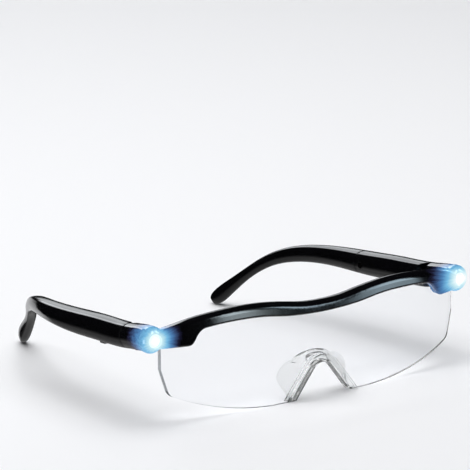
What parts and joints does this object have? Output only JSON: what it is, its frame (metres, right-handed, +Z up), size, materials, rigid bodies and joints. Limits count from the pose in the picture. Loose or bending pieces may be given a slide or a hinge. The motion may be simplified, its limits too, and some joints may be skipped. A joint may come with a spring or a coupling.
{
  "type": "lighted magnifier glasses",
  "caption": "Wrap-around magnifying glasses with a one-piece clear lens, wavy black brow bar, lit end pods and folding arms with curled ear hooks.",
  "frame": {"origin": "under the middle of the whole object, on the table it stands on", "axes": "+X across the face to the viewer's right, +Y from the lens back to the ears, +Z up"},
  "size_m": [0.1566, 0.138, 0.0411],
  "materials": {
    "black_frame_plastic": "polished injection moulding",
    "black_arm_plastic": "polished injection moulding",
    "clear_lens": "polished clear lens",
    "clear_nose_pad": "clear soft moulding, slightly milky",
    "switch_plastic": "ribbed",
    "screw_steel": "zinc plated",
    "pin_steel": "ground",
    "lamp_window_clear": "water-clear epoxy dome",
    "lamp_emitter": "lit white emitter",
    "circuit_board": "solder-resist green",
    "lead_insulation": "thin insulation",
    "cell_case": "plain metal can",
    "contact_brass": "stamped strip"
  },
  "bodies": {
    "front": {"front_frame": "black_frame_plastic", "magnifier_lens": "clear_lens", "nose_pad": "clear_nose_pad", "left_end_cover": "black_frame_plastic", "left_end_cover_screws": "screw_steel", "left_hinge_pin": "pin_steel", "left_led_window": "lamp_window_clear", "left_led_emitter": "lamp_emitter", "left_led_board": "circuit_board", "left_lamp_lead": "lead_insulation", "right_end_cover": "black_frame_plastic", "right_end_cover_screws": "screw_steel", "right_hinge_pin": "pin_steel", "right_led_window": "lamp_window_clear", "right_led_emitter": "lamp_emitter", "right_led_board": "circuit_board", "right_lamp_lead": "lead_insulation"},
    "left_arm_body": {"left_arm": "black_arm_plastic", "left_arm_cover": "black_arm_plastic", "left_arm_cover_screw": "screw_steel", "left_battery_cell": "cell_case", "left_front_contact": "contact_brass", "left_rear_contact": "contact_brass", "left_switch_board": "circuit_board", "left_arm_lead": "lead_insulation"},
    "right_arm_body": {"right_arm_housing": "black_arm_plastic", "right_ear_piece": "black_arm_plastic", "right_ear_screw": "screw_steel", "right_battery_cell": "cell_case", "right_front_contact": "contact_brass", "right_rear_contact": "contact_brass", "right_switch_board": "circuit_board", "right_arm_lead": "lead_insulation"},
    "left_switch": {"left_switch_slide": "switch_plastic"},
    "right_switch": {"right_switch_slide": "switch_plastic"}
  },
  "joints": [
    {"name": "left_arm_fold", "type": "hinge", "parent": "front", "child": "left_arm_body", "pos_m": [-0.0698, -0.0469, 0.03105], "axis": [0, 0, -1], "range_deg": [0, 75]},
    {"name": "right_arm_fold", "type": "hinge", "parent": "front", "child": "right_arm_body", "pos_m": [0.0698, -0.0469, 0.03105], "axis": [0, 0, 1], "range_deg": [0, 84]},
    {"name": "left_switch_slide_travel", "type": "slide", "parent": "left_arm_body", "child": "left_switch", "axis": [0.0465, 0.9967, -0.0662], "range_m": [0, 0.002]},
    {"name": "right_switch_slide_travel", "type": "slide", "parent": "right_arm_body", "child": "right_switch", "axis": [-0.0465, 0.9967, -0.0662], "range_m": [0, 0.002]}
  ]
}
